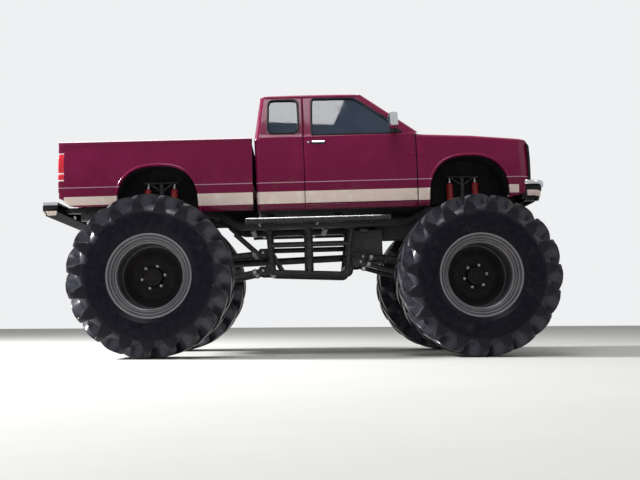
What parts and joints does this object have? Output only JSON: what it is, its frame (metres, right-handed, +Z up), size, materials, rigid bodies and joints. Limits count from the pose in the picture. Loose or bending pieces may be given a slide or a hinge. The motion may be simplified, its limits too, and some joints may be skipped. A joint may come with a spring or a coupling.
{
  "type": "lifted pickup truck",
  "caption": "Pickup body on a raised frame over solid axles, with tall lugged farm tyres, opening doors, hood and tailgate, and steered front wheels.",
  "frame": {"origin": "on the ground under the middle of the truck's box", "axes": "+X is forward, +Y is the truck's left, +Z is up"},
  "size_m": [5.0873, 2.51, 2.6821],
  "materials": {
    "body_paint": "faded gloss",
    "chassis_paint": "satin black",
    "axle_paint": "satin dark grey",
    "cast_iron": "as cast",
    "bright_steel": "bright",
    "shock_paint": "gloss red",
    "chrome": "polished",
    "wheel_paint": "weathered silver",
    "tyre": "worn rubber",
    "glass": "tinted",
    "trim": "matt",
    "seat_cloth": "woven",
    "lamp_clear": "clear",
    "lamp_red": "translucent red"
  },
  "bodies": {
    "chassis": {"frame": "chassis_paint", "truss": "chassis_paint", "axle_front": "axle_paint", "axle_rear": "axle_paint", "links": "chassis_paint", "shock_bodies": "shock_paint", "shock_rods": "bright_steel", "engine": "cast_iron", "gearbox": "cast_iron", "driveshafts": "chassis_paint", "cab_shell": "body_paint", "cab_glass": "glass", "seats": "seat_cloth", "dashboard": "trim", "steering_wheel": "trim", "front_fenders": "body_paint", "grille": "trim", "headlamps": "lamp_clear", "bumper_front": "chrome", "bumper_rear": "chrome", "bed_deck": "body_paint", "bed_side_l": "body_paint", "bed_side_r": "body_paint", "tail_lamps": "lamp_red", "side_steps": "bright_steel", "steer_ram": "axle_paint"},
    "door_l": {"door_l": "body_paint", "door_glass_l": "glass", "mirror_l": "chrome"},
    "door_r": {"door_r": "body_paint", "door_glass_r": "glass", "mirror_r": "chrome"},
    "hood": {"hood": "body_paint"},
    "tailgate": {"tailgate": "body_paint"},
    "knuckle_l": {"knuckle_l": "axle_paint"},
    "knuckle_r": {"knuckle_r": "axle_paint"},
    "tie_rod": {"tie_rod": "chassis_paint"},
    "ram_rod": {"ram_rod": "bright_steel"},
    "wheel_fl": {"wheel_fl": "wheel_paint", "tyre_fl": "tyre"},
    "wheel_fr": {"wheel_fr": "wheel_paint", "tyre_fr": "tyre"},
    "wheel_rl": {"wheel_rl": "wheel_paint", "tyre_rl": "tyre"},
    "wheel_rr": {"wheel_rr": "wheel_paint", "tyre_rr": "tyre"}
  },
  "joints": [
    {"name": "steer_left", "type": "hinge", "parent": "chassis", "child": "knuckle_l", "pos_m": [1.6996, 0.76, 0.77126], "axis": [0, 0, 1], "range_deg": [-20, 20]},
    {"name": "steer_right", "type": "hinge", "parent": "chassis", "child": "knuckle_r", "pos_m": [1.6996, -0.76, 0.77126], "axis": [0, 0, 1], "range_deg": [-20, 20]},
    {"name": "tie_rod_pivot", "type": "hinge", "parent": "knuckle_l", "child": "tie_rod", "pos_m": [1.4996, 0.76, 0.62726], "axis": [0, 0, 1], "range_deg": [-20, 20]},
    {"name": "steering_ram", "type": "slide", "parent": "chassis", "child": "ram_rod", "axis": [0, 1, 0], "range_m": [-0.063, 0.063]},
    {"name": "wheel_fl_spin", "type": "hinge", "parent": "knuckle_l", "child": "wheel_fl", "pos_m": [1.6996, 0.96, 0.77126], "axis": [0, 1, 0], "continuous": true},
    {"name": "wheel_fr_spin", "type": "hinge", "parent": "knuckle_r", "child": "wheel_fr", "pos_m": [1.6996, -0.96, 0.77126], "axis": [0, 1, 0], "continuous": true},
    {"name": "wheel_rl_spin", "type": "hinge", "parent": "chassis", "child": "wheel_rl", "pos_m": [-1.4224, 0.96, 0.77126], "axis": [0, 1, 0], "continuous": true},
    {"name": "wheel_rr_spin", "type": "hinge", "parent": "chassis", "child": "wheel_rr", "pos_m": [-1.4224, -0.96, 0.77126], "axis": [0, 1, 0], "continuous": true},
    {"name": "door_l_hinge", "type": "hinge", "parent": "chassis", "child": "door_l", "pos_m": [1.16139, 0.797, 1.82689], "axis": [-0.0262, 0, 0.9997], "range_deg": [-60, 0]},
    {"name": "door_r_hinge", "type": "hinge", "parent": "chassis", "child": "door_r", "pos_m": [1.16139, -0.797, 1.82689], "axis": [-0.0262, 0, 0.9997], "range_deg": [0, 60]},
    {"name": "hood_hinge", "type": "hinge", "parent": "chassis", "child": "hood", "pos_m": [1.22242, 0, 2.20861], "axis": [0, -1, 0], "range_deg": [0, 50]},
    {"name": "tailgate_hinge", "type": "hinge", "parent": "chassis", "child": "tailgate", "pos_m": [-2.36198, 0, 1.58507], "axis": [0, -1, 0], "range_deg": [0, 90]}
  ],
  "couplings": [
    {"joint": "steer_right", "follows": "steer_left", "ratio": 1},
    {"joint": "tie_rod_pivot", "follows": "steer_left", "ratio": -1},
    {"joint": "steering_ram", "follows": "steer_left", "m_per_rad": 0.18}
  ]
}
